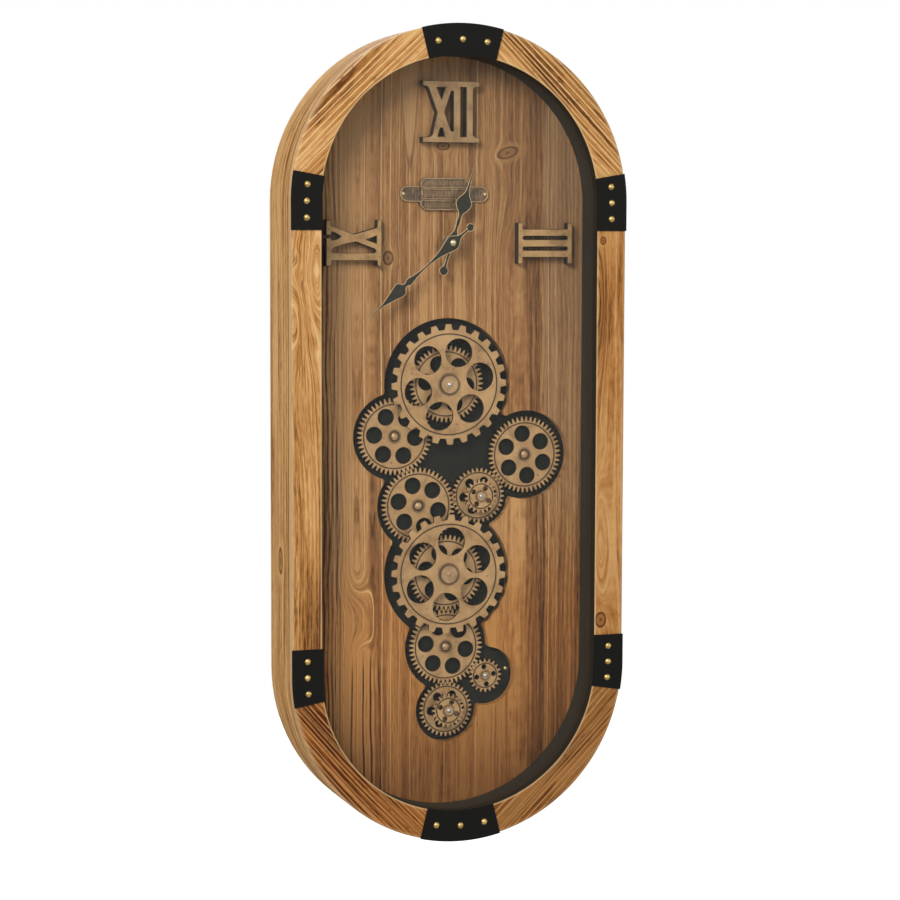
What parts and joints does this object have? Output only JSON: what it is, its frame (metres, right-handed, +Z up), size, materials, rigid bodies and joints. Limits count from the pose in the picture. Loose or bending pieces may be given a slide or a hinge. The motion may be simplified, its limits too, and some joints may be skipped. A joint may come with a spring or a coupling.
{
  "type": "wall clock",
  "caption": "Tall round-ended wall clock: wooden ring, grained dial behind glass, raised Roman numerals, spade hands and a well of turning gear wheels.",
  "frame": {"origin": "midway between the two keyhole hanger holes, in the wall plane", "axes": "+Z up, -Y out of the wall towards the viewer, +X to the viewer's right"},
  "size_m": [0.3432, 0.0852, 0.8012],
  "materials": {
    "ring_wood": "oiled, with burnt dark grain",
    "band_wood": "satin",
    "dial_wood": "satin, upright grain",
    "liner_paint": "matt charcoal paint",
    "back_wood": "plain",
    "glass": "clear",
    "plate_black": "matt black",
    "well_black": "matt black",
    "nail_brass": "polished",
    "numeral_bronze": "bronze paint, charcoal sides",
    "plaque_bronze": "worn dark bronze",
    "gear_bronze": "antique bronze paint",
    "cap_bronze": "satin",
    "hand_black": "satin black",
    "movement_plastic": "fine texture",
    "works_plastic": "plain",
    "fixing_steel": "zinc plated",
    "cell_label": "printed sleeve"
  },
  "bodies": {
    "case": {"side_band": "band_wood", "ring_arc_top_left": "ring_wood", "ring_arc_top_right": "ring_wood", "ring_arc_bottom_left": "ring_wood", "ring_arc_bottom_right": "ring_wood", "ring_rail_left": "ring_wood", "ring_rail_right": "ring_wood", "plate_top": "plate_black", "plate_bottom": "plate_black", "plate_upper_left": "plate_black", "plate_upper_right": "plate_black", "plate_lower_left": "plate_black", "plate_lower_right": "plate_black", "plate_nails": "nail_brass", "liner_band": "liner_paint", "glass_pane": "glass", "dial_board": "dial_wood", "well_plate": "well_black", "back_frame": "back_wood", "hanger_batten": "back_wood", "hanger_plates": "fixing_steel", "hanger_screws": "fixing_steel", "numeral_twelve": "numeral_bronze", "numeral_three": "numeral_bronze", "numeral_nine": "numeral_bronze", "numeral_pins": "nail_brass", "name_plaque": "plaque_bronze", "small_screws": "nail_brass", "movement_case": "movement_plastic", "movement_cover": "movement_plastic", "bushing_nut": "fixing_steel", "gear_posts": "fixing_steel", "post_caps": "cap_bronze", "drive_case": "movement_plastic", "drive_cover": "movement_plastic", "drive_motor": "fixing_steel", "battery_cells": "cell_label"},
    "minute_train": {"minute_arbor": "nail_brass", "minute_hand": "hand_black", "hand_nut": "nail_brass"},
    "hour_train": {"hour_wheel": "works_plastic", "hour_hand": "hand_black"},
    "motion_train": {"minute_wheel": "works_plastic", "setting_knob": "movement_plastic"},
    "upper_gears": {"upper_great_wheel": "gear_bronze", "upper_back_wheel": "gear_bronze"},
    "lower_gears": {"lower_great_wheel": "gear_bronze", "lower_back_wheel": "gear_bronze", "drive_shaft": "cap_bronze"},
    "left_gear": {"left_wheel": "gear_bronze"},
    "right_gear": {"right_wheel": "gear_bronze"},
    "middle_gear": {"middle_wheel": "gear_bronze"},
    "low_gear": {"low_wheel": "gear_bronze"},
    "small_gears": {"small_wheel": "gear_bronze", "small_pinion": "gear_bronze"},
    "bottom_gears": {"bottom_wheel": "gear_bronze", "bottom_pinion": "gear_bronze"},
    "side_gear": {"side_pinion": "gear_bronze"},
    "battery_door_body": {"battery_door": "movement_plastic"},
    "switch_body": {"switch_slider": "movement_plastic"}
  },
  "joints": [
    {"name": "minute_turn", "type": "hinge", "parent": "case", "child": "minute_train", "pos_m": [0, -0.03, -0.1105], "axis": [0, 1, 0], "continuous": true},
    {"name": "hour_turn", "type": "hinge", "parent": "case", "child": "hour_train", "pos_m": [0, -0.03, -0.1105], "axis": [0, 1, 0], "continuous": true},
    {"name": "motion_turn", "type": "hinge", "parent": "case", "child": "motion_train", "pos_m": [0, -0.02, -0.0985], "axis": [0, 1, 0], "continuous": true},
    {"name": "lower_turn", "type": "hinge", "parent": "case", "child": "lower_gears", "pos_m": [0.00001, -0.035, -0.43939], "axis": [0, 1, 0], "continuous": true},
    {"name": "upper_turn", "type": "hinge", "parent": "case", "child": "upper_gears", "pos_m": [0, -0.035, -0.2502], "axis": [0, 1, 0], "continuous": true},
    {"name": "left_turn", "type": "hinge", "parent": "case", "child": "left_gear", "pos_m": [-0.05379, -0.035, -0.30125], "axis": [0, 1, 0], "continuous": true},
    {"name": "right_turn", "type": "hinge", "parent": "case", "child": "right_gear", "pos_m": [0.08299, -0.035, -0.32256], "axis": [0, 1, 0], "continuous": true},
    {"name": "middle_turn", "type": "hinge", "parent": "case", "child": "middle_gear", "pos_m": [-0.02904, -0.035, -0.37115], "axis": [0, 1, 0], "continuous": true},
    {"name": "low_turn", "type": "hinge", "parent": "case", "child": "low_gear", "pos_m": [0.00001, -0.035, -0.51355], "axis": [0, 1, 0], "continuous": true},
    {"name": "small_turn", "type": "hinge", "parent": "case", "child": "small_gears", "pos_m": [0.03369, -0.035, -0.36234], "axis": [0, 1, 0], "continuous": true},
    {"name": "bottom_turn", "type": "hinge", "parent": "case", "child": "bottom_gears", "pos_m": [0.00001, -0.035, -0.57689], "axis": [0, 1, 0], "continuous": true},
    {"name": "side_turn", "type": "hinge", "parent": "case", "child": "side_gear", "pos_m": [0.04202, -0.035, -0.54509], "axis": [0, 1, 0], "continuous": true},
    {"name": "door_slide", "type": "slide", "parent": "case", "child": "battery_door_body", "axis": [0, 0, -1], "range_m": [0, 0.04]},
    {"name": "switch_slide", "type": "slide", "parent": "case", "child": "switch_body", "axis": [0, 0, -1], "range_m": [0, 0.003]}
  ],
  "couplings": [
    {"joint": "hour_turn", "follows": "minute_turn", "ratio": 0.083333},
    {"joint": "motion_turn", "follows": "minute_turn", "ratio": -0.33333},
    {"joint": "upper_turn", "follows": "lower_turn", "ratio": -1},
    {"joint": "left_turn", "follows": "lower_turn", "ratio": 1},
    {"joint": "right_turn", "follows": "lower_turn", "ratio": -1},
    {"joint": "middle_turn", "follows": "lower_turn", "ratio": -1},
    {"joint": "low_turn", "follows": "lower_turn", "ratio": -1},
    {"joint": "small_turn", "follows": "lower_turn", "ratio": 1.4118},
    {"joint": "bottom_turn", "follows": "lower_turn", "ratio": 1.4118},
    {"joint": "side_turn", "follows": "lower_turn", "ratio": 2.4}
  ]
}
